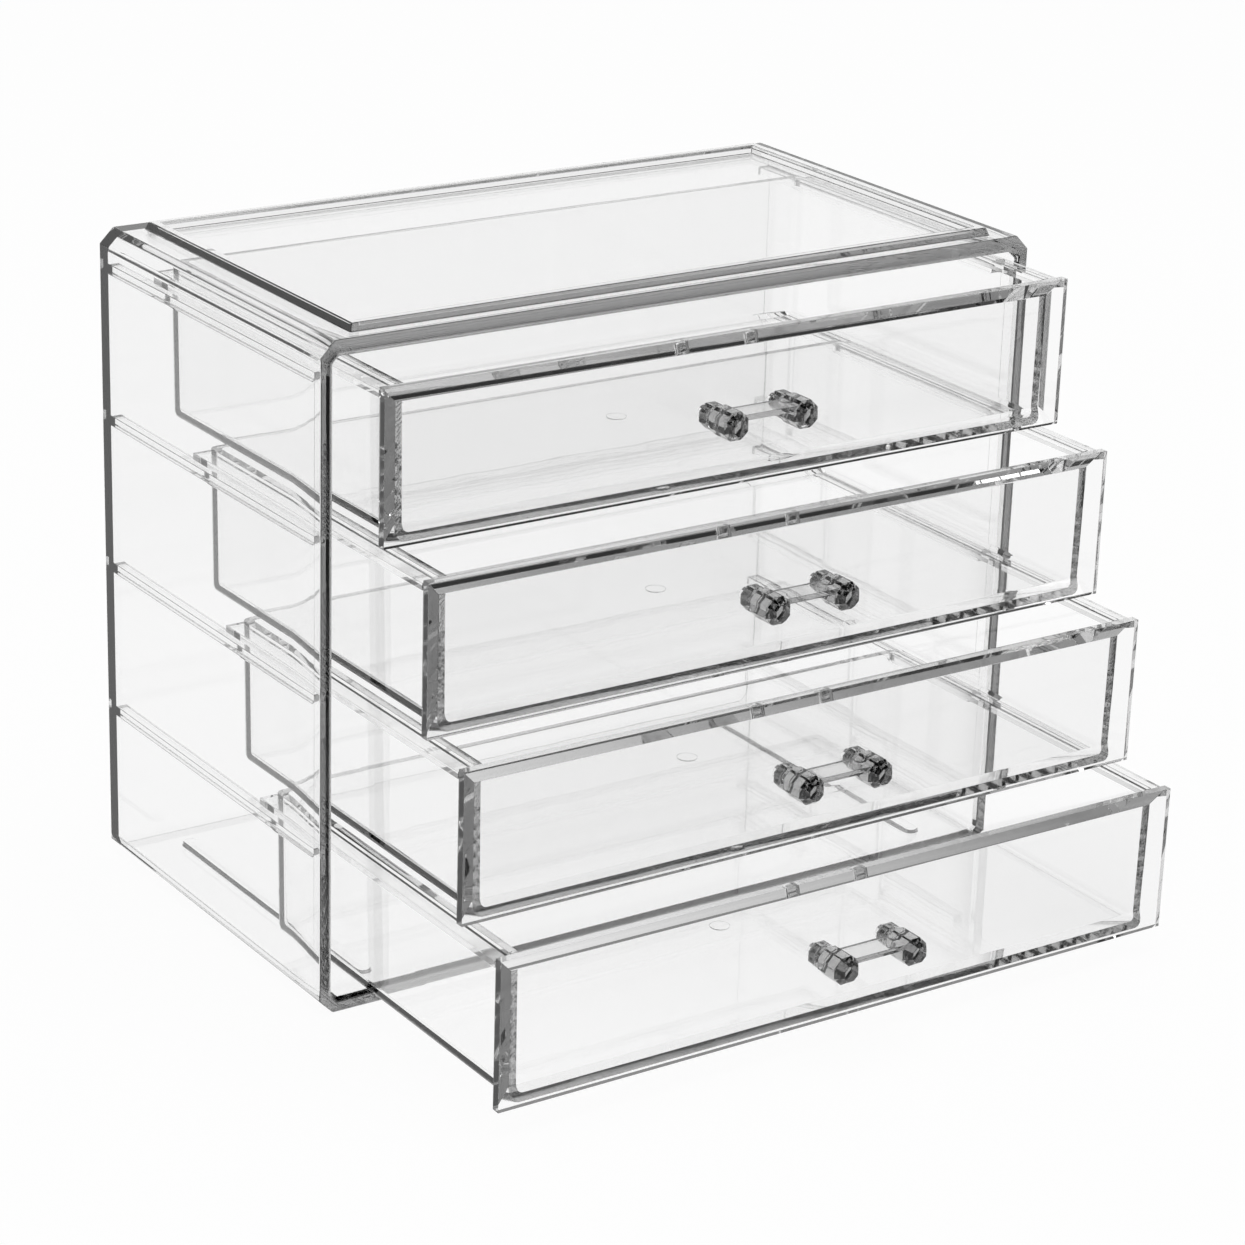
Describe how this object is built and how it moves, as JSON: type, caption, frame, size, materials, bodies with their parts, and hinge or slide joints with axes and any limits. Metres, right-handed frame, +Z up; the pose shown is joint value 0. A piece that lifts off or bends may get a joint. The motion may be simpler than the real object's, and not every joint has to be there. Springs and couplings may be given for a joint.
{
  "type": "acrylic makeup organizer drawers",
  "caption": "Clear countertop organizer for makeup and jewellery: a one-piece open-front case with inner rails, a rimmed top shelf and stacked sliding drawers with bar handles.",
  "frame": {"origin": "on the ground under the middle of the case, not counting the open drawers", "axes": "+Z up, +X to the right of someone who faces the drawers, -Y out of the front"},
  "size_m": [0.24, 0.2329, 0.1996],
  "materials": {
    "clear_case": "crystal clear injection-moulded polystyrene, high gloss",
    "clear_tray": "crystal clear injection-moulded polystyrene, high gloss",
    "clear_front": "crystal clear plate, high gloss",
    "clear_handle": "crystal clear faceted moulding, high gloss"
  },
  "bodies": {
    "case": {"case": "clear_case"},
    "drawer_1": {"drawer_1_tray": "clear_tray", "drawer_1_front": "clear_front", "drawer_1_handle": "clear_handle"},
    "drawer_2": {"drawer_2_tray": "clear_tray", "drawer_2_front": "clear_front", "drawer_2_handle": "clear_handle"},
    "drawer_3": {"drawer_3_tray": "clear_tray", "drawer_3_front": "clear_front", "drawer_3_handle": "clear_handle"},
    "drawer_4": {"drawer_4_tray": "clear_tray", "drawer_4_front": "clear_front", "drawer_4_handle": "clear_handle"}
  },
  "joints": [
    {"name": "drawer_1_slide", "type": "slide", "parent": "case", "child": "drawer_1", "axis": [0, -1, 0], "range_m": [-0.0248, 0.0722]},
    {"name": "drawer_2_slide", "type": "slide", "parent": "case", "child": "drawer_2", "axis": [0, -1, 0], "range_m": [-0.0478, 0.0492]},
    {"name": "drawer_3_slide", "type": "slide", "parent": "case", "child": "drawer_3", "axis": [0, -1, 0], "range_m": [-0.0669, 0.0301]},
    {"name": "drawer_4_slide", "type": "slide", "parent": "case", "child": "drawer_4", "axis": [0, -1, 0], "range_m": [-0.0866, 0.0104]}
  ]
}
